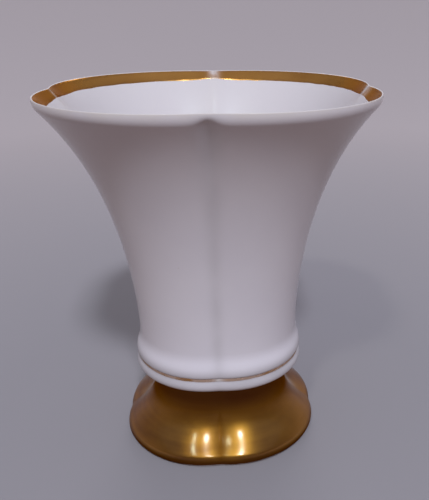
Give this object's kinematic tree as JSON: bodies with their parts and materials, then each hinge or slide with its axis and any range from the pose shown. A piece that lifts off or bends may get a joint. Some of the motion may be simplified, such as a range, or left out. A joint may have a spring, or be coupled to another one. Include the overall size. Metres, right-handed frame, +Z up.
{
  "type": "vase",
  "caption": "Small footed porcelain vase: a trumpet body pressed into lobes with creases between, on a hollow flared foot, with gilded foot, base line and inner rim band.",
  "frame": {"origin": "middle of the footprint, on the surface the vase stands on", "axes": "+Z up along the vase's axis; the creases between the lobes lie on X and Y, and a crease faces -Y, the front"},
  "size_m": [0.0878, 0.0878, 0.1031],
  "materials": {
    "glazed_porcelain": "white hard porcelain under a clear, glossy, faintly cool glaze",
    "bare_porcelain": "unglazed fired slip, matt and slightly warm",
    "gilding": "bright burnished gold, lightly rubbed, brushed round by hand"
  },
  "bodies": {
    "root": {"foot": "glazed_porcelain", "luting_slip": "bare_porcelain", "body": "glazed_porcelain", "rim_gilding": "gilding", "base_line_gilding": "gilding", "foot_gilding": "gilding"}
  },
  "joints": []
}
